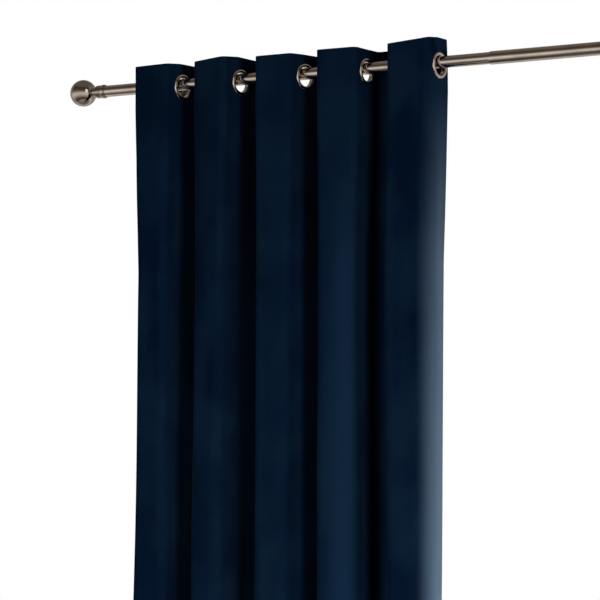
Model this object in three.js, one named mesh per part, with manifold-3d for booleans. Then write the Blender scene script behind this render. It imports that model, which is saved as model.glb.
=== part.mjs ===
// An eyelet curtain on a telescopic pole, hung from two wall brackets.
// Millimetres. The origin is the centre of the left bracket's back face, which lies on the wall:
// X runs along the pole to the right, Y into the wall, Z up. The pole's axis is at z = 0.
import * as THREE from 'three';
import { mergeVertices } from 'three/addons/utils/BufferGeometryUtils.js';
import Module from 'manifold-3d';

const wasm = await Module();
wasm.setup();

// ---- driving dimensions ----
const GAP = 0.3; // clearance between pieces that touch
const POLE_Y = -90; // the pole stands this far in front of the wall
const INNER_R = 12.5; // telescopic pole: the 25 mm tube
const INNER_WALL = 1;
const OUTER_R = 14; // and the 28 mm tube that it slides in
const OUTER_WALL = OUTER_R - INNER_R - GAP;
const TUBE_LENGTH = 1150; // of each tube
const INNER_START = -159.4; // left end of the inner tube
const MOUTH_X = 799.4; // open end of the outer tube, where the pole steps up
const OUTER_END = MOUTH_X + TUBE_LENGTH;
const GUIDE_LENGTH = 18; // plastic guide inside the inner tube's hidden end
const GUIDE_RIM = 4; // its rim closes the tube
const BRACKET_INSET = 159.4; // from a tube's end to its bracket
const BALL_R = 29; // finial
const BALL_FLAT = 27;
const NECK_R = 10.5;
const NECK_END = 36; // distances along the finial are counted from the ball's centre
const TUBE_STOP = 40;
const COLLAR_END = 59.7;
const COLLAR_WALL = 1.2;
const GROOVE_START = 47; // the collar is turned down from here to seat the ring
const RING_START = 50;
const RING_END = 57.2;
const RING_WALL = 1.4;
const STUD_R = 3;
const STUD_START = 10;
const STUD_END = 66;
const PLUG_LENGTH = 30;
const PLATE_R = 26; // bracket
const PLATE_THICK = 5;
const PLATE_HOLE_R = 2.6;
const PLATE_HOLE_Z = 17;
const ARM_R = 6;
const ARM_FOOT_R = 9.5;
const CUP_WIDTH = 14;
const CUP_WALL = 3.5;
const CUP_LIP = 9; // the cup's walls rise this far above the pole's axis
const SCREW_R = 2;
const SCREW_HEAD_R = 4.5;
const SCREW_HEAD = 6;
const EYE_BORE_R = 20.5; // eyelet
const EYE_SLEEVE_R = 22;
const EYE_RIM_R = 28;
const EYE_DOME = 3.2;
const EYE_SLEEVE_BACK = 4.9;
const EYE_Z = OUTER_R + GAP - EYE_BORE_R; // it hangs clear of the thicker tube
const EYELETS = [
  // place along the pole, and degrees that the cloth there is turned from square to the pole
  { x: -41, turn: 3 },
  { x: 53.5, turn: 11 },
  { x: 113, turn: -10 },
  { x: 198, turn: 11 },
  { x: 259, turn: 5 },
  { x: 356.5, turn: 13 },
  { x: 407, turn: 4 },
  { x: 504.5, turn: 3 },
  { x: 581, turn: -10 },
  { x: 677, turn: 3 },
];
const FRONT_SLANT = [2, 10, -2, -1, 0]; // degrees that each front fold's right edge comes forward
const FLAT_WIDTH = 1676; // the panel laid flat
const DROP = 2250; // from the pole's axis down to the hem
const HEADING = 41; // and up to the top edge
const SIDE_MARGIN = 68; // from an end eyelet to the panel's side edge
const MARGIN_STRAIGHT = 31; // the rest of the margin turns inward behind the end fold
const MARGIN_R = 11;
const EYE_PITCH = (FLAT_WIDTH - 2 * SIDE_MARGIN) / (EYELETS.length - 1); // laid flat
const FOLD_R = 9; // radius of a fold's corners
const CORNER_STEPS = 4;
const MARGIN_STEPS = 5;
const STIFFENER_HEIGHT = 100;
const FACE = [0.2, 2.2]; // each layer's two surfaces, measured forward from the cloth's middle
const STIFFENER = [-0.9, -0.1];
const LINING = [-2.2, -1.2];
const CLOTH_HALF = 2.5; // the eyelet's two halves meet the cloth here

// ---- materials ----
const metal = (color, roughness) => new THREE.MeshStandardMaterial({ color, roughness, metalness: 1 });
const soft = (color, roughness) => new THREE.MeshStandardMaterial({ color, roughness, metalness: 0 });
const satinNickel = metal(0xa89c90, 0.34);
const brightNickel = metal(0xb9b2ad, 0.16);
const steel = metal(0x8d8d90, 0.4);
const greyPlastic = soft(0x4b4b4d, 0.55);
const velvet = soft(0x0b1c30, 0.95);
const buckram = soft(0xe4dfd2, 0.9);
const sateen = soft(0xd9d0bd, 0.85);

const curtainPole = new THREE.Group();
const radians = THREE.MathUtils.degToRad;

function add(name, geometry, material) {
  const mesh = new THREE.Mesh(geometry, material);
  mesh.name = name;
  curtainPole.add(mesh);
  return mesh;
}

// A turned piece about +X. The outline runs [along, radius], clockwise as seen with X to the right.
function turned(outline, segments = 28) {
  const points = outline.map(([along, radius]) => new THREE.Vector2(radius, along));
  return new THREE.LatheGeometry(points, segments).rotateZ(-Math.PI / 2);
}

const rod = (start, end, radius, segments = 24) =>
  turned([[start, 0], [start, radius], [end, radius], [end, 0]], segments);

function tube(start, end, outerR, wall, segments = 32) {
  const innerR = outerR - wall;
  return turned(
    [[start, innerR], [start, outerR], [end, outerR], [end, innerR], [start, innerR]], segments,
  );
}

// ---- cutting one solid with others ----
function toManifold(geometry) {
  const bare = geometry.clone().deleteAttribute('normal').deleteAttribute('uv');
  const merged = mergeVertices(bare, 1e-4);
  return new wasm.Manifold(new wasm.Mesh({
    numProp: 3,
    vertProperties: new Float32Array(merged.attributes.position.array),
    triVerts: new Uint32Array(merged.index.array),
  }));
}

function cut(geometry, tools) {
  let solid = toManifold(geometry);
  for (const tool of tools) solid = solid.subtract(toManifold(tool));
  const { vertProperties, triVerts } = solid.getMesh();
  const result = new THREE.BufferGeometry();
  result.setAttribute('position', new THREE.BufferAttribute(vertProperties, 3));
  result.setIndex(new THREE.BufferAttribute(triVerts, 1));
  const flat = result.toNonIndexed();
  flat.computeVertexNormals();
  return flat;
}

// ---- the telescopic pole ----
add('inner_tube', tube(INNER_START, INNER_START + TUBE_LENGTH, INNER_R, INNER_WALL), satinNickel)
  .position.y = POLE_Y;
add('outer_tube', tube(MOUTH_X, OUTER_END, OUTER_R, OUTER_WALL), satinNickel).position.y = POLE_Y;

// A plastic guide closes the inner tube's hidden end and keeps it from scraping.
const guideBoreR = INNER_R - INNER_WALL - GAP;
add('inner_tube_guide', turned([
  [-GUIDE_LENGTH, 0], [-GUIDE_LENGTH, guideBoreR], [GAP, guideBoreR], [GAP, INNER_R],
  [GUIDE_RIM - 1, INNER_R], [GUIDE_RIM, INNER_R - 1], [GUIDE_RIM, 0],
]), greyPlastic).position.set(INNER_START + TUBE_LENGTH, POLE_Y, 0);

// ---- finials ----
// A ball screwed to a collar that caps the tube, with a ring pressed on the collar and a plug
// in the tube that takes the stud. Built pointing left, with the ball's centre at the origin.
function finial(side, tubeR, tubeWall) {
  const ball = new THREE.Path();
  ball.moveTo(STUD_START - 1, 0).lineTo(STUD_START - 1, STUD_R + GAP).lineTo(BALL_FLAT, STUD_R + GAP);
  ball.lineTo(BALL_FLAT, NECK_R).absarc(0, 0, BALL_R, Math.atan2(NECK_R, BALL_FLAT), Math.PI);
  const ballOutline = ball.getPoints(6).map((p) => [p.x, Math.max(p.y, 0)]).reverse();

  const boreR = tubeR + GAP;
  const collarR = boreR + COLLAR_WALL;
  const seatR = boreR + COLLAR_WALL / 2;
  const ring = tube(RING_START, RING_END, seatR + GAP + RING_WALL, RING_WALL);
  const collar = [
    [BALL_FLAT + GAP, STUD_R + GAP], [BALL_FLAT + GAP, NECK_R - 0.6], [BALL_FLAT + 1.2, NECK_R],
    [NECK_END - 2.4, NECK_R], [NECK_END - 1, NECK_R + 0.8], [NECK_END, collarR - 1.2],
    [NECK_END + 1.2, collarR], [GROOVE_START, collarR], [GROOVE_START, seatR], [COLLAR_END, seatR],
    [COLLAR_END, boreR], [TUBE_STOP, boreR], [TUBE_STOP, STUD_R + GAP], [BALL_FLAT + GAP, STUD_R + GAP],
  ];
  const plugR = tubeR - tubeWall - GAP;
  const plug = tube(TUBE_STOP + GAP, TUBE_STOP + PLUG_LENGTH, plugR, plugR - STUD_R - GAP, 32);
  return {
    [`finial_${side}_ball`]: [turned(ballOutline, 32), brightNickel],
    [`finial_${side}_collar`]: [turned(collar), brightNickel],
    [`finial_${side}_ring`]: [ring, satinNickel],
    [`finial_${side}_stud`]: [rod(STUD_START, STUD_END, STUD_R, 24), steel],
    [`finial_${side}_plug`]: [plug, greyPlastic],
  };
}

const finialReach = TUBE_STOP + GAP; // from the ball's centre to the tube's end
for (const [name, [geometry, material]] of Object.entries(finial('left', INNER_R, INNER_WALL))) {
  add(name, geometry, material).position.set(INNER_START - finialReach, POLE_Y, 0);
}
for (const [name, [geometry, material]] of Object.entries(finial('right', OUTER_R, OUTER_WALL))) {
  const mesh = add(name, geometry, material);
  mesh.position.set(OUTER_END + finialReach, POLE_Y, 0);
  mesh.rotation.z = Math.PI;
}

// ---- wall brackets ----
// A round plate on the wall, an arm, and an open cup that the pole drops into, with a lock
// screw under it.
function bracket(side, x, tubeR) {
  const disc = new THREE.Shape().absarc(0, 0, PLATE_R - 1, 0, 2 * Math.PI);
  for (const z of [-PLATE_HOLE_Z, PLATE_HOLE_Z]) {
    disc.holes.push(new THREE.Path().absarc(0, z, PLATE_HOLE_R, 0, 2 * Math.PI));
  }
  const plate = new THREE.ExtrudeGeometry(disc, {
    depth: PLATE_THICK - 2, bevelSize: 1, bevelThickness: 1, bevelSegments: 2, curveSegments: 8,
  });
  plate.translate(0, 0, 1).rotateX(Math.PI / 2);

  const boreR = tubeR + GAP;
  const cupR = boreR + CUP_WALL;
  const armStart = PLATE_THICK + GAP;
  const armEnd = -POLE_Y - cupR - GAP;
  const arm = turned([
    [armStart, 0], [armStart, ARM_FOOT_R], [armStart + 3, ARM_FOOT_R], [armStart + 6, ARM_R],
    [armEnd, ARM_R], [armEnd, 0],
  ], 32).rotateZ(-Math.PI / 2);

  const section = new THREE.Shape();
  section.moveTo(-cupR, CUP_LIP).absarc(0, 0, cupR, Math.PI, 2 * Math.PI).lineTo(cupR, CUP_LIP);
  section.lineTo(boreR, CUP_LIP).absarc(0, 0, boreR, 0, Math.PI, true).lineTo(-boreR, CUP_LIP);
  const screwHole = new THREE.CylinderGeometry(SCREW_R + GAP, SCREW_R + GAP, 2 * CUP_WALL, 24)
    .rotateX(Math.PI / 2).translate(0, 0, -boreR - CUP_WALL / 2);
  const saddle = new THREE.ExtrudeGeometry(section, {
    depth: CUP_WIDTH, bevelEnabled: false, curveSegments: 12,
  });
  saddle.translate(0, 0, -CUP_WIDTH / 2).rotateX(Math.PI / 2).rotateZ(Math.PI / 2);

  const headTop = -cupR - GAP;
  const screw = turned([
    [headTop - SCREW_HEAD, 0], [headTop - SCREW_HEAD, SCREW_HEAD_R - 0.5],
    [headTop - SCREW_HEAD + 0.5, SCREW_HEAD_R], [headTop, SCREW_HEAD_R], [headTop, SCREW_R],
    [-boreR, SCREW_R], [-boreR, 0],
  ], 24).rotateY(-Math.PI / 2);

  add(`bracket_${side}_plate`, plate, satinNickel).position.x = x;
  add(`bracket_${side}_arm`, arm, satinNickel).position.x = x;
  add(`bracket_${side}_cup`, cut(saddle, [screwHole]), satinNickel).position.set(x, POLE_Y, 0);
  add(`bracket_${side}_lock_screw`, screw, steel).position.set(x, POLE_Y, 0);
}

bracket('left', INNER_START + BRACKET_INSET, INNER_R);
bracket('right', OUTER_END - BRACKET_INSET, OUTER_R);

// ---- the cloth's path in plan, with the pole's axis at y = 0 ----
const onLine = (point, heading, distance) =>
  new THREE.Vector2(point.x + distance * Math.cos(heading), point.y + distance * Math.sin(heading));

function crossing(a, headingA, b, headingB) {
  const along = Math.sin(headingB - headingA);
  const distance = ((b.x - a.x) * Math.sin(headingB) - (b.y - a.y) * Math.cos(headingB)) / along;
  return onLine(a, headingA, distance);
}

// Points round a corner, from the line that runs in to the line that runs out.
function roundCorner(corner, headingIn, headingOut) {
  const turn = headingOut - headingIn;
  const start = onLine(corner, headingIn, -FOLD_R * Math.tan(Math.abs(turn) / 2));
  const side = Math.sign(turn);
  const centre = onLine(start, headingIn + (side * Math.PI) / 2, FOLD_R);
  return Array.from({ length: CORNER_STEPS + 1 }, (_, i) =>
    onLine(centre, headingIn + (turn * i) / CORNER_STEPS - (side * Math.PI) / 2, FOLD_R));
}

// An eyelet on a fold's left side has cloth running forward through it, the next one backward.
const eyelets = EYELETS.map(({ x, turn }, i) => {
  const forward = i % 2 === 0;
  const heading = forward ? -Math.PI / 2 + radians(turn) : Math.PI / 2 - radians(turn);
  return { at: new THREE.Vector2(x, 0), heading, forward };
});

const lengthOf = (points) => points.slice(1).reduce((sum, p, i) => sum + p.distanceTo(points[i]), 0);

// The fold between two eyelets, just as deep as the cloth between them allows.
function fold(i) {
  const [from, to] = [eyelets[i], eyelets[i + 1]];
  const slant = from.forward ? -radians(FRONT_SLANT[i / 2]) : 0;
  const side = from.forward ? -1 : 1;
  const middle = (from.at.x + to.at.x) / 2;
  const shape = (depth) => {
    const crest = new THREE.Vector2(middle, side * depth);
    return [
      from.at,
      ...roundCorner(crossing(from.at, from.heading, crest, slant), from.heading, slant),
      ...roundCorner(crossing(to.at, to.heading, crest, slant), slant, to.heading),
      to.at,
    ];
  };
  let [shallow, deep] = [25, 100];
  for (let step = 0; step < 40; step += 1) {
    const middleDepth = (shallow + deep) / 2;
    if (lengthOf(shape(middleDepth)) < EYE_PITCH) shallow = middleDepth;
    else deep = middleDepth;
  }
  return shape(deep).slice(0, -1);
}

// From an end eyelet the cloth runs straight back, then turns a quarter inward.
function sideEdge({ at, heading, forward }) {
  const side = forward ? -1 : 1;
  const backward = forward ? heading + Math.PI : heading;
  const inward = backward + (side * Math.PI) / 2;
  const centre = onLine(onLine(at, backward, MARGIN_STRAIGHT), inward, MARGIN_R);
  const bend = Array.from({ length: MARGIN_STEPS + 1 }, (_, i) =>
    onLine(centre, backward + side * (i / MARGIN_STEPS - 1) * (Math.PI / 2), MARGIN_R));
  const rest = SIDE_MARGIN - MARGIN_STRAIGHT - (MARGIN_R * Math.PI) / 2;
  return [...bend, onLine(bend.at(-1), inward, rest)];
}

const [firstEye, lastEye] = [eyelets[0], eyelets.at(-1)];
const clothPath = [
  ...sideEdge(firstEye).reverse(),
  ...eyelets.slice(0, -1).flatMap((_, i) => fold(i)),
  lastEye.at,
  ...sideEdge(lastEye),
];

// The path moved sideways, forward for a positive distance.
function shifted(distance) {
  return clothPath.map((point, i) => {
    const before = clothPath[Math.max(i - 1, 0)];
    const after = clothPath[Math.min(i + 1, clothPath.length - 1)];
    const along = after.clone().sub(before).normalize();
    return new THREE.Vector2(point.x + along.y * distance, point.y - along.x * distance);
  });
}

// ---- the curtain's layers, each pierced for the eyelets ----
function layer(name, [back, front], height, material) {
  const outline = new THREE.Shape([...shifted(front), ...shifted(back).reverse()]);
  const sheet = new THREE.ExtrudeGeometry(outline, { depth: height, bevelEnabled: false });
  const holeR = EYE_SLEEVE_R + 2 * GAP;
  const holes = eyelets.map(({ at, heading }) =>
    new THREE.CylinderGeometry(holeR, holeR, 12, 18)
      .rotateZ(heading).translate(at.x, at.y, EYE_Z - HEADING + height));
  add(name, cut(sheet, holes), material).position.set(0, POLE_Y, HEADING - height);
}

layer('curtain_face', FACE, DROP + HEADING, velvet);
layer('curtain_heading_stiffener', STIFFENER, STIFFENER_HEIGHT, buckram);
layer('curtain_lining', LINING, DROP + HEADING, sateen);

// ---- eyelets, each a front ring with a sleeve and a back ring that snaps over it ----
function eyeletRing(domeInnerR, facing) {
  const ring = new THREE.Path();
  const middleR = (domeInnerR + EYE_RIM_R) / 2;
  const width = EYE_RIM_R - middleR;
  ring.absellipse(middleR, facing * CLOTH_HALF, width, EYE_DOME, 0, facing * Math.PI, facing < 0);
  return ring.getPoints(2).map((p) => [p.y, p.x]);
}
const frontDome = eyeletRing(EYE_BORE_R, 1);
const frontRing = [
  ...frontDome, [-EYE_SLEEVE_BACK, EYE_BORE_R], [-EYE_SLEEVE_BACK, EYE_SLEEVE_R],
  [CLOTH_HALF, EYE_SLEEVE_R], frontDome[0],
];
const backDome = eyeletRing(EYE_SLEEVE_R + GAP, -1);
const backRing = [...backDome, backDome[0]].reverse();

eyelets.forEach(({ at, heading }, i) => {
  for (const [half, outline] of [['front', frontRing], ['back', backRing]]) {
    const mesh = add(`eyelet_${i + 1}_${half}`, turned(outline, 24), brightNickel);
    mesh.rotation.z = heading - Math.PI / 2;
    mesh.position.set(at.x, POLE_Y, EYE_Z);
  }
});

export default curtainPole;
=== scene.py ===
from math import atan2, cos, pi, radians, sin, tan

import bmesh
import bpy
import numpy as np
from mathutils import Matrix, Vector
from mathutils.kdtree import KDTree
from mathutils.noise import noise


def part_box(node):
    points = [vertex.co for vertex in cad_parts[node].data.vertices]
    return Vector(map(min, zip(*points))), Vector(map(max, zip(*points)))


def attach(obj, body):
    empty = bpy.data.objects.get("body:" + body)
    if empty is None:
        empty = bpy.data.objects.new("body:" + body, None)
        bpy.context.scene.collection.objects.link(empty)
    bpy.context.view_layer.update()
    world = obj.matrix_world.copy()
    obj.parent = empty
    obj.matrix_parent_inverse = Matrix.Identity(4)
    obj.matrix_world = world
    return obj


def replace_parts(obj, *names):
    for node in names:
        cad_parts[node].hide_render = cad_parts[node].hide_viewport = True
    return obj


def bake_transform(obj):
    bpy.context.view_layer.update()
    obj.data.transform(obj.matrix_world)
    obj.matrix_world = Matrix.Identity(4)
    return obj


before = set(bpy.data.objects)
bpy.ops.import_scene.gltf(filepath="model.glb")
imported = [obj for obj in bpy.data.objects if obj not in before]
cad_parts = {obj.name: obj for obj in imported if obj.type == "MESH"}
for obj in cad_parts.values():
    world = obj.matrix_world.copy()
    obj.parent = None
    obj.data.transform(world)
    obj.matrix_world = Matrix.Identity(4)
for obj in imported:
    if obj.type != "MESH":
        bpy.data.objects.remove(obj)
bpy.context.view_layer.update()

# --------------------------------------------------------------------------------------------
# Camera. It stands well back, to the right of the curtain and below the pole, and looks
# slightly up, so the pole runs downhill to the left and the fold tops show their depth.
pole_low, pole_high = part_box("inner_tube")
pole_y = (pole_low.y + pole_high.y) / 2
camera_turn = radians(30)
camera_tilt = radians(5.58)
camera_distance = 8.792
camera_height = -1.338
aim_x = 0.345

lens = bpy.data.cameras.new("camera")
lens.lens = 252
lens.sensor_width = 36
lens.dof.use_dof = False
camera = bpy.data.objects.new("camera", lens)
camera.location = (
    aim_x + sin(camera_turn) * camera_distance,
    pole_y - cos(camera_turn) * camera_distance,
    camera_height,
)
camera.rotation_euler = (pi / 2 + camera_tilt, 0, camera_turn)
bpy.context.scene.collection.objects.link(camera)
bpy.context.scene.camera = camera


# --------------------------------------------------------------------------------------------
# Telescopic pole. Two drawn steel tubes, 25 mm sliding in 28 mm, plated in satin nickel and
# polished round, so each carries long straight bands of light and the faintest draw lines.
class Wire:
    """A socket of a finish, so that sums of wires are written as sums."""

    def __init__(self, finish, socket):
        self.finish = finish
        self.socket = socket

    def sum(self, operation, first, second):
        return self.finish.node("ShaderNodeMath", {"operation": operation}, {0: first, 1: second})

    def __add__(self, other):
        return self.sum("ADD", self, other)

    def __radd__(self, other):
        return self.sum("ADD", other, self)

    def __sub__(self, other):
        return self.sum("SUBTRACT", self, other)

    def __rsub__(self, other):
        return self.sum("SUBTRACT", other, self)

    def __mul__(self, other):
        return self.sum("MULTIPLY", self, other)

    def __rmul__(self, other):
        return self.sum("MULTIPLY", other, self)


class Finish:
    """One material made of nodes, or the world around, which is made in the same way."""

    def __init__(self, name, around=None):
        self.material = around or bpy.data.materials.new(name)
        self.material.use_nodes = True
        self.tree = self.material.node_tree
        self.shader = self.tree.nodes["Background" if around else "Principled BSDF"]

    def node(self, kind, settings=None, inputs=None, output=0):
        made = self.tree.nodes.new(kind)
        for setting, value in (settings or {}).items():
            if setting == "stops":
                self.set_stops(made.color_ramp, value)
            else:
                setattr(made, setting, value)
        for key, value in (inputs or {}).items():
            if isinstance(value, Wire):
                self.tree.links.new(value.socket, made.inputs[key])
            else:
                made.inputs[key].default_value = value
        return Wire(self, made.outputs[output])

    def set_stops(self, ramp, stops):
        while len(ramp.elements) > len(stops):
            ramp.elements.remove(ramp.elements[-1])
        while len(ramp.elements) < len(stops):
            ramp.elements.new(1)
        for element, (place, colour) in zip(ramp.elements, stops):
            element.position = place
            element.color = (*colour, 1)

    def place(self, stretch=(1, 1, 1)):
        """Where a point is on the object, stretched for a grain that runs one way."""
        where = self.node("ShaderNodeTexCoord", output="Object")
        return self.node("ShaderNodeMapping", inputs={"Vector": where, "Scale": stretch})

    def cloud(self, where, scale, detail=3, roughness=0.5):
        settings = {"Vector": where, "Scale": scale, "Detail": detail, "Roughness": roughness}
        return self.node("ShaderNodeTexNoise", inputs=settings)

    def mixed(self, share, first, second):
        colours = {0: share, 6: first, 7: second}
        return self.node("ShaderNodeMix", {"data_type": "RGBA"}, colours, output=2)

    def between(self, value, low, high):
        """A cloud, which stays near 0.5, spread out to run from 0 to 1 between low and high."""
        spread = {0: value, 1: low, 2: high}
        return self.node("ShaderNodeMapRange", {"clamp": True}, spread)

    def relief(self, height, strength, distance):
        bump = {"Height": height, "Strength": strength, "Distance": distance}
        return self.node("ShaderNodeBump", inputs=bump)

    def set(self, **values):
        for key, value in values.items():
            socket = self.shader.inputs[key.replace("_", " ")]
            if isinstance(value, Wire):
                self.tree.links.new(value.socket, socket)
            else:
                socket.default_value = value
        return self


def plated_metal(name, tone, dull_tone, roughness, grain, marks=0.05):
    """Nickel plate: drawn or turned along one way, with cloudy handling marks in its shine."""
    plate = Finish(name)
    lines = plate.cloud(plate.place(grain), 1.0, detail=2)
    handling = plate.between(plate.cloud(plate.place(), 34, detail=4), 0.38, 0.66)
    return plate.set(
        Base_Color=plate.mixed(handling, (*tone, 1), (*dull_tone, 1)),
        Metallic=1.0,
        Roughness=roughness + lines * marks + handling * marks,
        Normal=plate.relief(lines, 0.06, 0.0003),
    )


def softened(outline, radius, steps=3):
    """An outline with each inner corner eased over, as on any turned or pressed edge."""
    eased = [outline[0]]
    for before, corner, after in zip(outline, outline[1:], outline[2:]):
        before, corner, after = Vector(before), Vector(corner), Vector(after)
        into, out = before - corner, after - corner
        reach = min(radius, into.length / 2.2, out.length / 2.2)
        start = corner + into.normalized() * reach
        end = corner + out.normalized() * reach
        for step in range(steps + 1):
            t = step / steps
            point = start * (1 - t) ** 2 + corner * 2 * t * (1 - t) + end * t ** 2
            eased.append(tuple(point))
    return eased + [outline[-1]]


def piece_from(name, points, faces, finish, smooth_angle=radians(35)):
    mesh = bpy.data.meshes.new(name)
    mesh.from_pydata([tuple(p) for p in points], [], faces)
    mesh.validate()
    tidy = bmesh.new()
    tidy.from_mesh(mesh)
    bmesh.ops.recalc_face_normals(tidy, faces=tidy.faces)
    tidy.to_mesh(mesh)
    tidy.free()
    mesh.polygons.foreach_set("use_smooth", [True] * len(mesh.polygons))
    mesh.set_sharp_from_angle(angle=smooth_angle)
    mesh.materials.append(finish.material)
    piece = bpy.data.objects.new(name, mesh)
    bpy.context.scene.collection.objects.link(piece)
    return piece


def turned(name, outline, start, towards, finish, sides=96):
    """Spins an outline of (along, radius) about the axis from start. A closed one has a hole."""
    closed = outline[0] == outline[-1]
    if closed:
        outline = outline[:-1]
    along_axis = Vector(towards).normalized()
    across = along_axis.orthogonal().normalized()
    other = along_axis.cross(across)
    points, rings = [], []
    for along, radius in outline:
        centre = Vector(start) + along_axis * along
        if radius < 1e-7:
            rings.append([len(points)] * sides)
            points.append(centre)
            continue
        rings.append(list(range(len(points), len(points) + sides)))
        for i in range(sides):
            turn = 2 * pi * i / sides
            points.append(centre + (across * cos(turn) + other * sin(turn)) * radius)
    faces = []
    for ring, following in zip(rings, rings[1:] + rings[:1] if closed else rings[1:]):
        for i in range(sides):
            j = (i + 1) % sides
            corners = dict.fromkeys((ring[i], ring[j], following[j], following[i]))
            if len(corners) > 2:
                faces.append(tuple(corners))
    return piece_from(name, points, faces, finish)


def pipe(start, end, outer, inner):
    """The outline of a tube, with its cut ends eased."""
    middle = ((start + end) / 2, inner)
    corners = [(start, inner), (start, outer), (end, outer), (end, inner)]
    return softened([middle, *corners, middle], 0.0005)


satin_nickel = plated_metal(
    "satin_nickel", (0.63, 0.575, 0.53), (0.52, 0.465, 0.42), 0.09, (1.5, 900, 900)
)


def tube_piece(name, node, inner_radius, body):
    low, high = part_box(node)
    length = high.x - low.x
    outline = pipe(0, length, (high.z - low.z) / 2, inner_radius)
    tube = turned(name, outline, (low.x, pole_y, 0), (1, 0, 0), satin_nickel, 128)
    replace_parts(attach(tube, body), node)


tube_piece("pole_inner_tube", "inner_tube", 0.0115, "pole_and_curtain")
tube_piece("pole_outer_tube", "outer_tube", 0.0128, "outer_pole")


def moulded_plastic(name, tone, roughness=0.5):
    plastic = Finish(name)
    grain = plastic.cloud(plastic.place(), 900, detail=2)
    patches = plastic.between(plastic.cloud(plastic.place(), 40), 0.35, 0.65)
    darker = tuple(c * 0.8 for c in tone)
    return plastic.set(
        Base_Color=plastic.mixed(patches, (*tone, 1), (*darker, 1)),
        Roughness=roughness + patches * 0.08,
        Normal=plastic.relief(grain, 0.12, 0.0002),
    )


grey_plastic = moulded_plastic("grey_plastic", (0.07, 0.07, 0.073))
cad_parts["inner_tube_guide"].data.materials[0] = grey_plastic.material

# --------------------------------------------------------------------------------------------
# Finials. A hollow pressed ball, mirror polished, screwed by a stud to a turned collar that
# caps the tube. A ring is pressed on the collar's end and a plastic plug inside holds it.
bright_nickel = plated_metal(
    "bright_nickel", (0.50, 0.465, 0.425), (0.40, 0.365, 0.33), 0.07, (700, 40, 40), marks=0.04
)
steel = plated_metal("zinc_steel", (0.50, 0.50, 0.52), (0.36, 0.36, 0.37), 0.3, (500, 500, 500))

ball_radius = 0.029
ball_flat = 0.027  # the ball's flat, towards the tube; distances run from the ball's centre
neck_radius = 0.0105
collar_start, collar_end, tube_stop = 0.036, 0.0597, 0.040
stud_radius = 0.0033
groove_start = 0.047  # the collar is turned down from here, and the ring sits on the thinner end
ring_thickness = 0.0014

for side, towards, body in (("left", 1, "pole_and_curtain"), ("right", -1, "outer_pole")):
    collar_low, collar_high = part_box(f"finial_{side}_collar")
    edge = collar_high.x if towards > 0 else collar_low.x
    centre = Vector((edge - towards * collar_end, pole_y, 0))
    collar_radius = (collar_high.z - collar_low.z) / 2
    bore_radius = collar_radius - 0.0012
    seat_radius = collar_radius - 0.0006

    flat_angle = atan2(neck_radius, ball_flat)
    curve = [pi - (pi - flat_angle) * i / 40 for i in range(41)]
    ball_outline = [(ball_radius * cos(a), ball_radius * sin(a)) for a in curve]
    ball_outline[0] = (-ball_radius, 0)
    socket_wall = [(ball_flat, stud_radius), (0.009, stud_radius), (0.009, 0)]
    ball_outline = ball_outline + softened([(ball_flat, neck_radius), *socket_wall], 0.0004)[1:]
    ball = turned(f"finial_{side}_polished_ball", ball_outline, centre, (towards, 0, 0), bright_nickel, 96)
    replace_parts(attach(ball, body), f"finial_{side}_ball")

    neck_start = ball_flat + 0.0003
    bead = [
        (collar_start + 0.0016 - 0.0016 * cos(a), collar_radius - 0.0016 + 0.0016 * sin(a))
        for a in (0, pi / 8, pi / 4, 3 * pi / 8, pi / 2)
    ]
    collar_outline = [
        ((neck_start + collar_start) / 2, stud_radius),
        (neck_start, stud_radius), (neck_start, neck_radius - 0.0004),
        (neck_start + 0.0022, neck_radius - 0.0009), (collar_start - 0.0028, neck_radius - 0.0007),
        (collar_start - 0.0006, neck_radius + 0.0004), *bead,
        (groove_start, collar_radius), (groove_start, seat_radius), (collar_end, seat_radius),
        (collar_end, bore_radius), (tube_stop, bore_radius),
        (tube_stop, stud_radius), ((neck_start + collar_start) / 2, stud_radius),
    ]
    collar = turned(
        f"finial_{side}_turned_collar", softened(collar_outline, 0.0005), centre, (towards, 0, 0),
        bright_nickel,
    )
    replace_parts(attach(collar, body), f"finial_{side}_collar")

    ring_low, ring_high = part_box(f"finial_{side}_ring")
    ring_radius = (ring_high.z - ring_low.z) / 2
    ring_width = ring_high.x - ring_low.x
    inner = ring_radius - ring_thickness
    crown = [
        (ring_width * i / 12, ring_radius - 0.0006 * abs(2 * i / 12 - 1) ** 3) for i in range(13)
    ]
    ring_outline = [(ring_width / 2, inner), (0, inner), *crown, (ring_width, inner), (ring_width / 2, inner)]
    ring = turned(
        f"finial_{side}_crowned_ring", ring_outline, (ring_low.x, pole_y, 0), (1, 0, 0), satin_nickel
    )
    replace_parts(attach(ring, body), f"finial_{side}_ring")

    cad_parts[f"finial_{side}_stud"].data.materials[0] = steel.material
    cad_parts[f"finial_{side}_plug"].data.materials[0] = grey_plastic.material

# --------------------------------------------------------------------------------------------
# Wall brackets. A pressed round plate with two countersunk holes, a turned arm, and a bent
# strap cup that the pole drops into. A knurled screw under the cup locks the pole.
plate_radius, plate_thickness, arm_radius = 0.026, 0.005, 0.006
screw_hole, screw_head, screw_spacing = 0.0026, 0.006, 0.034  # the wall screws' holes
cup_width, cup_wall, cup_lip = 0.014, 0.0035, 0.009
fit = 0.0003  # left between the plate, the arm, the cup and the screw's head


def cut_away(piece, cutter):
    """Drills one piece with another, then throws the drill away."""
    hole = piece.modifiers.new("hole", "BOOLEAN")
    hole.operation = "DIFFERENCE"
    hole.solver = "EXACT"
    hole.object = cutter
    bpy.context.view_layer.objects.active = piece
    bpy.ops.object.modifier_apply(modifier=hole.name)
    bpy.data.objects.remove(cutter)


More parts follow.
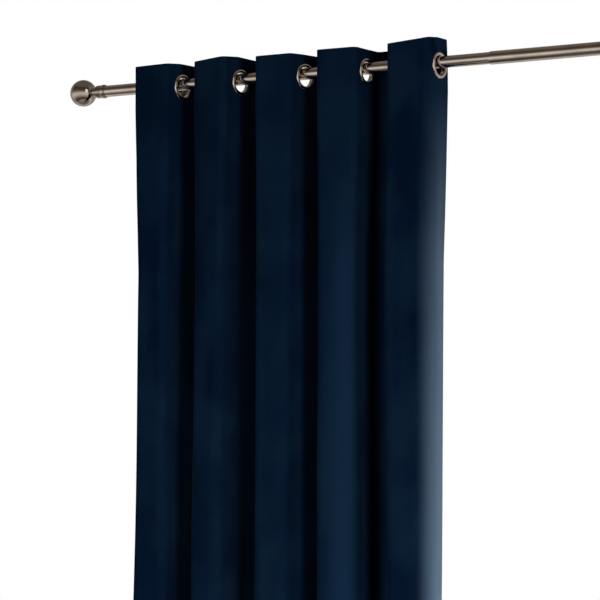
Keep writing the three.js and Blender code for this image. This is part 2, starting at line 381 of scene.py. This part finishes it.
for side, body in (("left", "pole_and_curtain"), ("right", "outer_pole")):
    plate_low, plate_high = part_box(f"bracket_{side}_plate")
    x = (plate_low.x + plate_high.x) / 2
    plate_outline = softened([
        (0, 0), (0, plate_radius), (plate_thickness - 0.0012, plate_radius),
        (plate_thickness, plate_radius - 0.0035), (plate_thickness, 0),
    ], 0.0009, 4)
    plate = turned(f"bracket_{side}_wall_plate", plate_outline, (x, 0, 0), (0, -1, 0), satin_nickel)
    for z in (-screw_spacing / 2, screw_spacing / 2):
        drill = [
            (-0.001, 0), (-0.001, screw_hole), (0.0028, screw_hole), (0.0062, screw_head), (0.0062, 0)
        ]
        cut_away(plate, turned("drill", drill, (x, 0, z), (0, -1, 0), satin_nickel, 40))
    plate.data.set_sharp_from_angle(angle=radians(35))
    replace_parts(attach(plate, body), f"bracket_{side}_plate")

    cup_low, cup_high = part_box(f"bracket_{side}_cup")
    cup_radius = (cup_high.y - cup_low.y) / 2
    cup_bore = cup_radius - cup_wall
    arm_start = plate_thickness + fit
    arm_end = -pole_y - cup_radius - fit
    arm_outline = softened([
        (arm_start, 0), (arm_start, 0.0095), (arm_start + 0.003, 0.0095),
        (arm_start + 0.0055, arm_radius), (arm_start + 0.009, arm_radius - 0.0006),
        (arm_end - 0.006, arm_radius - 0.0006), (arm_end - 0.003, arm_radius), (arm_end, arm_radius),
        (arm_end, 0),
    ], 0.0009, 4)
    arm = turned(f"bracket_{side}_turned_arm", arm_outline, (x, 0, 0), (0, -1, 0), satin_nickel, 64)
    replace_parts(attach(arm, body), f"bracket_{side}_arm")

    bend = [pi + pi * i / 48 for i in range(49)]
    outside = [(cup_radius * cos(a), cup_radius * sin(a)) for a in bend]
    inside = [(cup_bore * cos(a), cup_bore * sin(a)) for a in reversed(bend)]
    section = [(-cup_radius, cup_lip), *outside, (cup_radius, cup_lip), (cup_bore, cup_lip), *inside]
    section.append((-cup_bore, cup_lip))
    count = len(section)
    cup_points = [
        (x + cup_width * end, pole_y + y, z) for end in (-0.5, 0.5) for y, z in section
    ]
    cup_faces = [(i, (i + 1) % count, count + (i + 1) % count, count + i) for i in range(count)]
    half = count // 2
    for end in (0, count):  # the flat sides, as strips from the strap's outside to its inside
        cup_faces += [
            (end + i, end + i + 1, end + count - 2 - i, end + count - 1 - i) for i in range(half - 1)
        ]
    cup = piece_from(f"bracket_{side}_strap_cup", cup_points, cup_faces, satin_nickel)
    drill = [(-0.008, 0), (-0.008, 0.0023), (0.002, 0.0023), (0.002, 0)]
    cut_away(cup, turned("drill", drill, (x, pole_y, -cup_bore), (0, 0, 1), satin_nickel, 32))
    ease = cup.modifiers.new("eased edges", "BEVEL")
    ease.width = 0.0006
    ease.segments = 3
    ease.limit_method = "ANGLE"
    ease.angle_limit = radians(50)
    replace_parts(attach(cup, body), f"bracket_{side}_cup")

    screw_low, screw_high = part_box(f"bracket_{side}_lock_screw")
    head_top = -cup_radius - fit
    screw_outline = softened([
        (screw_low.z, 0), (screw_low.z, 0.0015), (screw_low.z + 0.0008, 0.0019), (screw_low.z, 0.0024),
        (screw_low.z, 0.0045), (head_top, 0.0045), (head_top, 0.002), (screw_high.z, 0.002),
        (screw_high.z, 0),
    ], 0.0004)
    screw = turned(f"bracket_{side}_knurled_screw", screw_outline, (x, pole_y, 0), (0, 0, 1), steel, 120)
    for vertex in screw.data.vertices:
        off = Vector((vertex.co.x - x, vertex.co.y - pole_y))
        if off.length > 0.004:
            ridge = 1 - 0.05 * (0.5 + 0.5 * cos(30 * atan2(off.y, off.x)))
            vertex.co.x = x + off.x * ridge
            vertex.co.y = pole_y + off.y * ridge
    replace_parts(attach(screw, body), f"bracket_{side}_lock_screw")

# --------------------------------------------------------------------------------------------
# Eyelets. Pressed nickel rings in two halves. The front one is a rolled ring with a smooth
# sleeve through the cloth, and the back one snaps over the sleeve's end.
eyelet_count = 10
eye_bore, eye_sleeve, eye_rim = 0.0205, 0.022, 0.028
eye_dome = 0.0032
cloth_half = 0.0023  # half the thickness of all the cloth that an eyelet grips

# Degrees that the cloth at each eyelet is turned from square to the pole.
eye_turns = [3, 11, -10, 11, 5, 13, 4, 3, -10, 3]

eyelet_nickel = plated_metal(
    "eyelet_nickel", (0.68, 0.64, 0.61), (0.57, 0.53, 0.50), 0.1, (60, 60, 60), marks=0.05
)


def rolled(start_angle, end_angle, middle, half_width, base, rise, steps=14):
    return [
        (base + rise * sin(a), middle + half_width * cos(a))
        for a in (start_angle + (end_angle - start_angle) * i / steps for i in range(steps + 1))
    ]


eyes = []
for k in range(1, eyelet_count + 1):
    front_low, front_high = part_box(f"eyelet_{k}_front")
    back_low, back_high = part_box(f"eyelet_{k}_back")
    x = (min(front_low.x, back_low.x) + max(front_high.x, back_high.x)) / 2
    z = (front_low.z + front_high.z) / 2
    turn = radians(eye_turns[k - 1])
    forward = k % 2 == 1  # the cloth runs forward through the odd eyelets, backward through the others
    heading = -pi / 2 + turn if forward else pi / 2 - turn
    eyes.append((x, heading, forward))
    outward = (sin(heading), -cos(heading), 0)
    body = "pole_and_curtain" if k == 1 else f"eyelet_{k}"
    middle = (eye_bore + eye_rim) / 2
    half_width = (eye_rim - eye_bore) / 2
    face_roll = rolled(0, pi, middle, half_width, cloth_half + 0.0001, eye_dome)
    lip = [(-0.0045, eye_bore + 0.0001), (-0.0049, eye_bore + 0.0007), (-0.0049, eye_sleeve)]
    front_outline = face_roll + lip + [(cloth_half + 0.0001, eye_sleeve), face_roll[0]]
    front = turned(f"eyelet_{k}_front_ring", front_outline, (x, pole_y, z), outward, eyelet_nickel)
    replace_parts(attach(front, body), f"eyelet_{k}_front")

    back_bore = eye_sleeve + 0.0003
    back_roll = rolled(
        0, -pi, (back_bore + eye_rim) / 2, (eye_rim - back_bore) / 2, -cloth_half - 0.0001, eye_dome
    )
    back = turned(
        f"eyelet_{k}_back_ring", back_roll + [back_roll[0]], (x, pole_y, z), outward, eyelet_nickel
    )
    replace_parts(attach(back, body), f"eyelet_{k}_back")
eye_z = z

# --------------------------------------------------------------------------------------------
# The hang of the curtain. One panel, 1.676 m wide laid flat, hangs from ten eyelets at equal
# spacing. Between two eyelets the cloth makes a fold just as deep as its width allows; the
# buckram keeps the fold corners tight at the heading, and they ease and wander further down.
flat_width = 1.676
side_margin = 0.068
margin_straight, margin_radius = 0.031, 0.011  # then the margin turns inward behind its fold
eye_pitch = (flat_width - 2 * side_margin) / (eyelet_count - 1)
face_low, face_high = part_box("curtain_face")
top, hem = face_high.z, face_low.z
heading_depth = 0.1
front_slants = [2, 10, -2, -1, 0]  # degrees that each front fold's right edge comes forward
# How far each eyelet's line of cloth has wandered to the right, in mm, at each drop below it.
wander_drops = (0, 0.35, 1.1, 2.25)
wander = [
    (16, -4, -9), (-2, -7, -8), (7, 0, 2), (-3, -8, -4), (5, 0, -3),
    (-4, -7, -2), (2, 2, 5), (-4, -6, 3), (-5, -4, -2), (-12, -19, -13),
]
corner_at_top, corner_at_middle, corner_at_hem = 0.009, 0.020, 0.026
# How far the heading stands up at each front fold's two corners and the eyelet after it, in mm.
lifts = [(-1.5, -0.5, 3), (-0.5, 3.5, 7), (-2, -1.5, 0), (0.7, 0.5, 0), (1.5, 6.5, 11)]
edge_lean = 0.007  # and how far its last edge leans in at the very top

close_end, medium_end = -0.07, -0.25  # the rows of the mesh stand closer near the heading
rows = np.concatenate([
    np.arange(top, close_end, -0.004),
    np.arange(close_end, medium_end, -0.008),
    np.arange(medium_end, hem + 0.006, -0.0135),
    [hem],
])
steps_between = 36
margin_steps = 14
margin_flat = np.linspace(0, side_margin, margin_steps + 1)
between_flat = side_margin + np.arange(1, steps_between * (eyelet_count - 1) + 1) * eye_pitch / steps_between
columns = np.concatenate([margin_flat, between_flat, flat_width - side_margin + margin_flat[1:]])


def on_line(point, heading, distance):
    return (point[0] + distance * cos(heading), point[1] + distance * sin(heading))


def crossing(a, heading_a, b, heading_b):
    apart = ((b[0] - a[0]) * sin(heading_b) - (b[1] - a[1]) * cos(heading_b)) / sin(heading_b - heading_a)
    return on_line(a, heading_a, apart)


def fold_outline(start, heading_in, end, heading_out, slant, side, corner):
    """The fold between two eyelet lines, as points, with its depth found from the cloth's width."""
    turns = (abs(slant - heading_in), abs(heading_out - slant))
    saved = sum(2 * corner * tan(t / 2) - corner * t for t in turns)
    middle = (start[0] + end[0]) / 2
    shallow, deep = 0.02, 0.12
    for _ in range(22):
        depth = (shallow + deep) / 2
        first = crossing(start, heading_in, (middle, side * depth), slant)
        second = crossing(end, heading_out, (middle, side * depth), slant)
        legs = ((start, first), (first, second), (second, end))
        length = sum(np.hypot(q[0] - p[0], q[1] - p[1]) for p, q in legs) - saved
        if length < eye_pitch:
            shallow = depth
        else:
            deep = depth
    points = [start]
    for corner_point, heading, following in ((first, heading_in, slant), (second, slant, heading_out)):
        turn = following - heading
        lead = on_line(corner_point, heading, -corner * tan(abs(turn) / 2))
        bend = 1 if turn > 0 else -1
        centre = on_line(lead, heading + bend * pi / 2, corner)
        for i in range(15):
            points.append(on_line(centre, heading + turn * i / 14 - bend * pi / 2, corner))
    return points + [end]


def side_edge(start, heading, inward):
    """The margin beyond an end eyelet: straight back, then turned a quarter inward."""
    turn_in = heading + inward * pi / 2
    centre = on_line(on_line(start, heading, margin_straight), turn_in, margin_radius)
    bend = [on_line(centre, heading + inward * (i / 8 - 1) * pi / 2, margin_radius) for i in range(9)]
    rest = side_margin - margin_straight - margin_radius * pi / 2
    return [start, *bend, on_line(bend[-1], turn_in, rest)]


def cloth_row(z):
    """The cloth's middle line at one height, at every column."""
    below = max(0.0, eye_z - z)
    ease = min(below / 1.1, 1.0)
    ease = ease * ease * (3 - 2 * ease)
    corner = corner_at_top + (corner_at_middle - corner_at_top) * ease
    corner += (corner_at_hem - corner_at_middle) * min(max((below - 1.1) / 1.1, 0), 1)
    lines = []
    for k, (x, heading, forward) in enumerate(eyes):
        drift = np.interp(max(0.0, below - 0.05), wander_drops, (0, *wander[k])) / 1000
        turn_back = (1 if forward else -1) * radians(4) * ease * sin(k * 2.3 + below * 2.1)
        lines.append(((x + drift, 0.0), heading + turn_back))
    flat, across, depth = [], [], []

    def lay(points, start_flat, span):
        steps = np.hypot(*np.diff(np.array(points), axis=0).T)
        run = np.concatenate([[0], np.cumsum(steps)])
        flat.extend(start_flat + span * run / run[-1])
        across.extend(p[0] for p in points)
        depth.extend(p[1] for p in points)

    (first, first_heading), (last, last_heading) = lines[0], lines[-1]
    lay(side_edge(first, first_heading + pi, -1)[::-1], 0, side_margin)
    for k in range(eyelet_count - 1):
        (start, heading_in), (end, heading_out) = lines[k], lines[k + 1]
        front = k % 2 == 0
        slant = -radians(front_slants[k // 2]) * (1 - 0.35 * ease) if front else 0.0
        points = fold_outline(start, heading_in, end, heading_out, slant, -1 if front else 1, corner)
        lay(points, side_margin + k * eye_pitch, eye_pitch)
    lay(side_edge(last, last_heading, 1), flat_width - side_margin, side_margin)
    return np.interp(columns, flat, across), np.interp(columns, flat, depth)


# The heading isn't dead level: the stiff cloth stands up a little at some fold corners.
corner_flats, corner_lifts = [0], [0]
for fold, (left_corner, right_corner, behind) in enumerate(lifts):
    start = side_margin + 2 * fold * eye_pitch
    corner_flats += [start + share * eye_pitch for share in (0.1, 0.27, 0.70, 0.95)]
    corner_lifts += [left_corner / 2, left_corner, right_corner, behind]
column_lifts = np.interp(columns, corner_flats, corner_lifts) / 1000
past_last = np.clip((columns - (flat_width - side_margin + 0.022)) / 0.030, 0, 1)
cloth = np.zeros((len(rows), len(columns), 3))
for j, z in enumerate(rows):
    rise = max((z + 0.03) / (top + 0.03), 0) ** 2
    cloth[j, :, 0], cloth[j, :, 1] = cloth_row(z)
    cloth[j, :, 0] -= edge_lean * rise * past_last ** 1.5
    cloth[j, :, 1] += pole_y
    cloth[j, :, 2] = z + column_lifts * rise

# The drape isn't dead straight: long shallow hollows run down it, strongest below the heading.
across_cloth = np.gradient(cloth, axis=1)
outward = np.stack([across_cloth[..., 1], -across_cloth[..., 0], 0 * across_cloth[..., 0]], axis=-1)
outward /= np.linalg.norm(outward, axis=-1, keepdims=True)
broad_hollow, narrow_hollow = 0.0045, 0.0022
hollows = np.zeros(cloth.shape[:2])
for j, z in enumerate(rows):
    strength = min(max((0.02 - z) / 0.5, 0), 1)
    for i, flat in enumerate(columns):
        broad = noise(Vector((flat * 9, z * 1.3, 4.0)))
        narrow = noise(Vector((flat * 24, z * 2.6, 9.0)))
        hollows[j, i] = strength * (broad_hollow * broad + narrow_hollow * narrow)
cloth += outward * hollows[..., None]
down_cloth = np.gradient(cloth, axis=0)
across_cloth = np.gradient(cloth, axis=1)
outward = np.cross(across_cloth, -down_cloth)
outward *= np.sign(-outward[..., 1:2] * across_cloth[..., 0:1] + outward[..., 0:1] * across_cloth[..., 1:2])
outward /= np.linalg.norm(outward, axis=-1, keepdims=True)

# Each column's share of the last eyelet's travel. It is level where an eyelet grips the cloth.
eye_flats = side_margin + eye_pitch * np.arange(eyelet_count)
eye_shares = np.array([(x - eyes[0][0]) / (eyes[-1][0] - eyes[0][0]) for x, _, _ in eyes])
grip = 0.034  # held level this far to each side of an eyelet
share_flats = np.sort(np.concatenate([eye_flats - grip, eye_flats + grip]))
column_shares = np.interp(columns, share_flats, np.repeat(eye_shares, 2))
cloth_tree = KDTree(cloth.shape[0] * cloth.shape[1])
for index, point in enumerate(cloth.reshape(-1, 3)):
    cloth_tree.insert(point, index)
cloth_tree.balance()


def follow_the_eyelets(piece):
    """Bakes the piece's placement into its mesh and finds each vertex's share of the last eyelet's travel;
    the shares are not used, so the cloth doesn't move with the eyelets.
    """
    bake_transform(piece)
    shares = [
        column_shares[cloth_tree.find(vertex.co)[1] % len(columns)] for vertex in piece.data.vertices
    ]


punch_radius = eye_sleeve + 0.0006


def cloth_piece(name, finish, flat_range, height_range, surfaces, pierced=False):
    """A layer of the curtain between two flat places and two heights, with its two surfaces.

    Its map holds each point's place on the cloth laid flat, in metres.
    """
    wide = np.flatnonzero((columns >= flat_range[0] - 1e-6) & (columns <= flat_range[1] + 1e-6))
    tall = np.flatnonzero((rows >= height_range[0] - 1e-6) & (rows <= height_range[1] + 1e-6))
    middle = cloth[np.ix_(tall, wide)]
    out = outward[np.ix_(tall, wide)]
    high, broad = middle.shape[:2]
    points = np.concatenate([
        (middle + out * surfaces[1]).reshape(-1, 3), (middle + out * surfaces[0]).reshape(-1, 3)
    ])
    back = high * broad
    faces = []
    for j in range(high - 1):
        for i in range(broad - 1):
            a = j * broad + i
            faces.append((a, a + broad, a + broad + 1, a + 1))
            faces.append((back + a, back + a + 1, back + a + broad + 1, back + a + broad))
    edge = list(range(broad)) + [j * broad + broad - 1 for j in range(1, high)]
    edge += [(high - 1) * broad + i for i in range(broad - 2, -1, -1)]
    edge += [j * broad for j in range(high - 2, 0, -1)]
    for a, b in zip(edge, edge[1:] + edge[:1]):
        faces.append((a, b, back + b, back + a))
    piece = piece_from(name, points, faces, finish, radians(50))
    flat_places = np.stack(np.meshgrid(columns[wide], rows[tall]), axis=-1).reshape(-1, 2)
    flat_places = np.concatenate([flat_places, flat_places])
    corners = np.zeros(len(piece.data.loops), dtype=np.int32)
    piece.data.loops.foreach_get("vertex_index", corners)
    laid_flat = piece.data.uv_layers.new(name="laid_flat")
    laid_flat.data.foreach_set("uv", flat_places[corners].astype(np.float32).reshape(-1))
    if pierced:
        for x, heading, _ in eyes:
            axis = Vector((sin(heading), -cos(heading), 0))
            reach = Vector((x, pole_y, eye_z)) - axis * 0.012
            punch = [(0, 0), (0, punch_radius), (0.024, punch_radius), (0.024, 0)]
            if np.linalg.norm(middle - np.array([x, pole_y, eye_z]), axis=-1).min() < 0.03:
                cut_away(piece, turned("punch", punch, reach, axis, finish, 48))
    return piece


# --------------------------------------------------------------------------------------------
# Curtain face. Navy cotton velvet, a short dense pile that drinks light face on and shows a
# blue bloom along its turned edges. Its nap is brushed in slight uneven streaks down the drop.
navy_velvet = Finish("navy_velvet")
nap = navy_velvet.between(navy_velvet.cloud(navy_velvet.place((26, 26, 1.6)), 1.0, detail=4), 0.36, 0.64)
crush = navy_velvet.between(navy_velvet.cloud(navy_velvet.place((1, 1, 0.7)), 9.0, detail=5), 0.4, 0.62)
pile = navy_velvet.cloud(navy_velvet.place(), 1500, detail=2, roughness=0.7)
deep_navy = (0.0014, 0.0062, 0.0195, 1)
raised_navy = (0.0027, 0.0108, 0.0285, 1)
pale_nap = (0.0062, 0.0195, 0.040, 1)
brushed = navy_velvet.mixed(nap * 0.7, deep_navy, raised_navy)
crushed = navy_velvet.mixed(crush * 0.45, brushed, pale_nap)
# Painted sheen: the base colour turns pale grey-blue down the curtain's right side below the heading,
# standing in for the grazing light on the last fold's side.
laid_flat = navy_velvet.node("ShaderNodeUVMap", {"uv_map": "laid_flat"})
along_flat = navy_velvet.node("ShaderNodeSeparateXYZ", inputs={0: laid_flat})
drop_flat = navy_velvet.node("ShaderNodeSeparateXYZ", inputs={0: laid_flat}, output=1)
pale_start, pale_full = flat_width - 0.122, flat_width - 0.055
painted_edge_sheen = navy_velvet.between(along_flat, pale_start, pale_full)
painted_edge_sheen = painted_edge_sheen * navy_velvet.between(0 - drop_flat, 0.06, 0.42) * (0.8 + nap * 0.2)
# Painted light: a paler patch near the fourth fold's right corner, growing in below the heading, brightens
# that fold's front.
fourth_right = side_margin + 7 * eye_pitch  # the eyelet on that fold's right side
painted_fold_light = navy_velvet.between(along_flat, fourth_right - 0.126, fourth_right - 0.066)
painted_fold_light = painted_fold_light * (1 - navy_velvet.between(along_flat, fourth_right - 0.061, fourth_right - 0.021))
painted_fold_light = painted_fold_light * navy_velvet.between(0 - drop_flat, 0.16, 0.42)
with_painted_fold_light = navy_velvet.mixed(painted_fold_light, crushed, (0.0058, 0.0195, 0.046, 1))
# The base colour carries the painted sheen down the right side and the painted light on the fourth fold.
navy_velvet.set(
    Base_Color=navy_velvet.mixed(painted_edge_sheen, with_painted_fold_light, (0.062, 0.094, 0.138, 1)),
    Roughness=0.86 + pile * 0.12,
    Sheen_Weight=0.16,
    Sheen_Roughness=0.27,
    Sheen_Tint=(0.70, 0.86, 1.0, 1),
    Specular_IOR_Level=0.0,
    Normal=navy_velvet.relief(pile, 0.25, 0.0004),
)

face_surfaces = (0.0003, 0.0020)
turning_surfaces = (-0.0019, -0.0006)
curtain_face = cloth_piece(
    "curtain_velvet_face", navy_velvet, (0, flat_width), (hem, top), face_surfaces, pierced=True
)
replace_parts(curtain_face, "curtain_face")

# --------------------------------------------------------------------------------------------
# Turnings. The velvet is turned to the back all round: over the buckram at the heading, and
# in a double hem down both sides and along the bottom.
side_hem = 0.0251
bottom_hem = 0.1
heading_bottom = top - heading_depth
side_hem_heights = (hem + bottom_hem, heading_bottom - 0.003)
side_hem_surfaces = (-0.0019, 0.0002)
turnings = [
    cloth_piece("curtain_heading_turning", navy_velvet, (0, flat_width), (heading_bottom, top),
                turning_surfaces, pierced=True),
    cloth_piece("curtain_side_hem_left", navy_velvet, (0, side_hem), side_hem_heights, side_hem_surfaces),
    cloth_piece("curtain_side_hem_right", navy_velvet, (flat_width - side_hem, flat_width),
                side_hem_heights, side_hem_surfaces),
    cloth_piece("curtain_bottom_hem", navy_velvet, (0, flat_width), (hem, hem + bottom_hem - 0.012),
                (-0.0021, 0.0002)),
]

# --------------------------------------------------------------------------------------------
# Heading stiffener. A 100 mm band of buckram, coarse cotton stiffened with size, lies between
# the face and its turning and keeps the eyelets from pulling the cloth.
buckram = Finish("buckram")
coarse = {"Vector": buckram.place(), "Scale": 420.0, "Distortion": 1.0, "Detail": 2.0}
threads_across = buckram.node("ShaderNodeTexWave", {"bands_direction": "Z"}, coarse)
threads_down = buckram.node("ShaderNodeTexWave", {"bands_direction": "X"}, coarse)
weave = threads_across * threads_down
buckram.set(
    Base_Color=buckram.mixed(weave, (0.50, 0.46, 0.38, 1), (0.76, 0.73, 0.66, 1)),
    Roughness=0.82 + weave * 0.1,
    Normal=buckram.relief(weave, 0.4, 0.0004),
)
stiffener = cloth_piece(
    "curtain_buckram", buckram, (0.004, flat_width - 0.004), (heading_bottom + 0.004, top - 0.004),
    (-0.0005, 0.0002), pierced=True,
)
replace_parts(stiffener, "curtain_heading_stiffener")

# --------------------------------------------------------------------------------------------
# Lining. Ivory cotton sateen, smooth, with a fine diagonal weave. It is caught in the heading
# turning and the hems, and it faces the window.
lining_sateen = Finish("lining_sateen")
twill = lining_sateen.node(
    "ShaderNodeTexWave", {"bands_direction": "DIAGONAL"},
    {"Vector": lining_sateen.place(), "Scale": 520.0, "Distortion": 0.6, "Detail": 2.0},
)
slub = lining_sateen.between(lining_sateen.cloud(lining_sateen.place((8, 8, 90)), 1.0, detail=4), 0.35, 0.65)
lining_sateen.set(
    Base_Color=lining_sateen.mixed(slub, (0.66, 0.60, 0.48, 1), (0.73, 0.68, 0.57, 1)),
    Roughness=0.62 + twill * 0.12,
    Sheen_Weight=0.15,
    Sheen_Roughness=0.5,
    Normal=lining_sateen.relief(twill + slub * 0.6, 0.22, 0.0003),
)
lining = cloth_piece(
    "curtain_sateen_lining", lining_sateen, (side_hem + 0.001, flat_width - side_hem - 0.001),
    (hem + bottom_hem - 0.004, heading_bottom - 0.003), (-0.0019, -0.0011),
)
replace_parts(lining, "curtain_lining")

# --------------------------------------------------------------------------------------------
# Stitching. A line of navy thread holds each hem and the heading turning down, seen from the
# back as short rounded stitches.
navy_thread = Finish("navy_thread")
ply = navy_thread.cloud(navy_thread.place(), 2400, detail=1)
navy_thread.set(
    Base_Color=navy_thread.mixed(ply, (0.004, 0.014, 0.034, 1), (0.016, 0.036, 0.07, 1)),
    Roughness=0.5 + ply * 0.2,
    Normal=navy_thread.relief(ply, 0.3, 0.0002),
)


def stitch_line(name, flats, heights, offset):
    """Small rounded stitches laid nose to tail along a line on the cloth."""
    column_places = np.interp(flats, columns, np.arange(len(columns)))
    row_places = np.interp(-np.array(heights), -rows, np.arange(len(rows)))
    low_i = np.clip(column_places.astype(int), 0, len(columns) - 2)
    low_j = np.clip(row_places.astype(int), 0, len(rows) - 2)
    part_i = (column_places - low_i)[:, None]
    part_j = (row_places - low_j)[:, None]

    def sampled(field):
        upper = field[low_j, low_i] * (1 - part_i) + field[low_j, low_i + 1] * part_i
        lower = field[low_j + 1, low_i] * (1 - part_i) + field[low_j + 1, low_i + 1] * part_i
        return upper * (1 - part_j) + lower * part_j

    line, out = sampled(cloth), sampled(outward)
    line = line + out * offset
    points, faces = [], []
    profile = ((0.0, 0.00005), (0.12, 0.00026), (0.5, 0.00034), (0.88, 0.00026), (1.0, 0.00005))
    for start, end, away in zip(line[:-1:2], line[1::2], out[::2]):
        along = Vector(end - start)
        up = Vector(away)
        across = along.cross(up).normalized()
        first = len(points)
        for share, radius in profile:
            centre = Vector(start) + along * share
            for corner in range(6):  # a stitch is six-sided
                a = corner * pi / 3
                points.append(centre + (across * cos(a) + up.normalized() * sin(a)) * radius)
        for ring in range(len(profile) - 1):
            for corner in range(6):
                a = first + ring * 6 + corner
                b = first + ring * 6 + (corner + 1) % 6
                faces.append((a, b, b + 6, a + 6))
        faces.append(tuple(first + corner for corner in range(5, -1, -1)))
        faces.append(tuple(first + (len(profile) - 1) * 6 + corner for corner in range(6)))
    return piece_from(name, points, faces, navy_thread)


stitch_length, stitch_pitch = 0.0031, 0.0042
stitch_inset = 0.021  # from the panel's side edge


def stitch_places(start, end):
    starts = np.arange(start, end, stitch_pitch)
    return np.stack([starts, starts + stitch_length], axis=1).reshape(-1)


down = stitch_places(hem + bottom_hem, heading_bottom - 0.01)
along = stitch_places(0.006, flat_width - 0.01)
stitch_lines = [
    stitch_line("stitching_side_left", 0 * down + stitch_inset, down, -0.0020),
    stitch_line("stitching_side_right", 0 * down + flat_width - stitch_inset, down, -0.0020),
    stitch_line("stitching_hem", along, 0 * along + hem + 0.083, -0.0022),
    stitch_line("stitching_heading", along, 0 * along + heading_bottom + 0.005, -0.0022),
]

sheets = [curtain_face, stiffener, lining]
for cloth_part in sheets + turnings + stitch_lines:
    follow_the_eyelets(cloth_part)
turnings + stitch_lines

# --------------------------------------------------------------------------------------------
# Studio. A plain pale floor that glows evenly, a plain bright background, a soft light low in
# front, one on the right that reaches only the near half of each fold's side, one low behind
# on the right that grazes the curtain's edge, and a window seen only in the metal.
floor_finish = Finish("pale_floor")
floor_mottle = floor_finish.cloud(floor_finish.place(), 2)
floor_finish.set(
    Base_Color=floor_finish.mixed(floor_mottle, (0.05, 0.05, 0.05, 1), (0.06, 0.06, 0.06, 1)),
    Roughness=0.9,
    Specular_IOR_Level=0.0,
    Emission_Color=(0.84, 0.84, 0.84, 1),
    Emission_Strength=1.0,
)
floor_z = hem - 0.02
floor_half, floor_middle = 9, 0.9
floor_corners = ((-1, -1), (1, -1), (1, 1), (-1, 1))
floor = piece_from(
    "studio_floor",
    [(floor_middle + sx * floor_half, sy * floor_half, floor_z) for sx, sy in floor_corners],
    [(0, 1, 2, 3)], floor_finish,
)
floor.visible_glossy = False
floor.visible_diffuse = False


def soft_light(name, place, aim, size, power, tone, spread=180, in_metal=False):
    lamp = bpy.data.lights.new(name, "AREA")
    lamp.shape = "RECTANGLE"
    lamp.size, lamp.size_y = size
    lamp.energy = power
    lamp.color = tone
    lamp.spread = radians(spread)
    light = bpy.data.objects.new(name, lamp)
    light.location = place
    light.rotation_mode = "QUATERNION"
    light.rotation_quaternion = (Vector(aim) - Vector(place)).to_track_quat("-Z", "Y")
    light.visible_camera = False
    light.visible_glossy = in_metal
    bpy.context.scene.collection.objects.link(light)


soft_light("key", (0.24, -2.2, -1.85), (0.32, pole_y, -0.85), (0.6, 1.2), 38, (1, 0.98, 0.96))
soft_light("side", (3.3, -2.2, -1.5), (0.35, pole_y, -1.0), (0.8, 1.6), 74, (1, 0.98, 0.96))
soft_light("edge", (2.8, 1.4, -2.1), (0.68, pole_y, -1.45), (0.8, 1.2), 28, (1, 0.97, 0.94), spread=62)
soft_light("window", (2.2, -1.5, 0.8), (-0.2, pole_y, 0), (1.0, 1.3), 5, (1, 0.97, 0.93), in_metal=True)

world = bpy.data.worlds.new("studio")
bpy.context.scene.world = world
around = Finish("studio", world)
direction = around.node("ShaderNodeTexCoord", output="Generated")
upward = around.node("ShaderNodeSeparateXYZ", inputs={0: direction}, output="Z")
backward = around.node("ShaderNodeSeparateXYZ", inputs={0: direction}, output="Y")
# Seen in the metal, the room in front is brown above, pale at eye level and dark near the
# ground; the side behind the curtain is a pale wall that darkens upward.
room_tones = [
    (0.05, (0.34, 0.30, 0.27)), (0.10, (0.055, 0.043, 0.035)), (0.17, (0.17, 0.14, 0.12)),
    (0.28, (0.60, 0.54, 0.49)), (0.41, (0.98, 0.94, 0.89)), (0.50, (0.78, 0.71, 0.64)),
    (0.60, (0.24, 0.20, 0.165)), (0.71, (0.10, 0.078, 0.06)), (0.82, (0.065, 0.046, 0.033)),
    (0.91, (0.17, 0.145, 0.12)),
]
wall_tones = [
    (0.05, (0.22, 0.185, 0.16)), (0.11, (0.40, 0.35, 0.31)), (0.16, (0.85, 0.8, 0.76)),
    (0.26, (0.42, 0.37, 0.33)), (0.5, (0.55, 0.5, 0.46)),
    (0.75, (0.30, 0.26, 0.23)), (0.95, (0.16, 0.135, 0.11)),
]
height = around.between(upward, -1, 1)
room = around.node("ShaderNodeValToRGB", {"stops": room_tones}, {0: height})
wall = around.node("ShaderNodeValToRGB", {"stops": wall_tones}, {0: height})
in_the_metal = around.mixed(around.between(backward, -0.12, 0.12), room, wall)
to_the_camera = around.node("ShaderNodeLightPath", output="Is Camera Ray")
to_a_mirror = around.node("ShaderNodeLightPath", output="Is Glossy Ray")
backdrop = around.mixed(to_the_camera, (0.022, 0.022, 0.024, 1), (1, 1, 1, 1))
around.set(Color=around.mixed(to_a_mirror, backdrop, in_the_metal), Strength=1.0)
bpy.context.scene.view_settings.view_transform = "Standard"
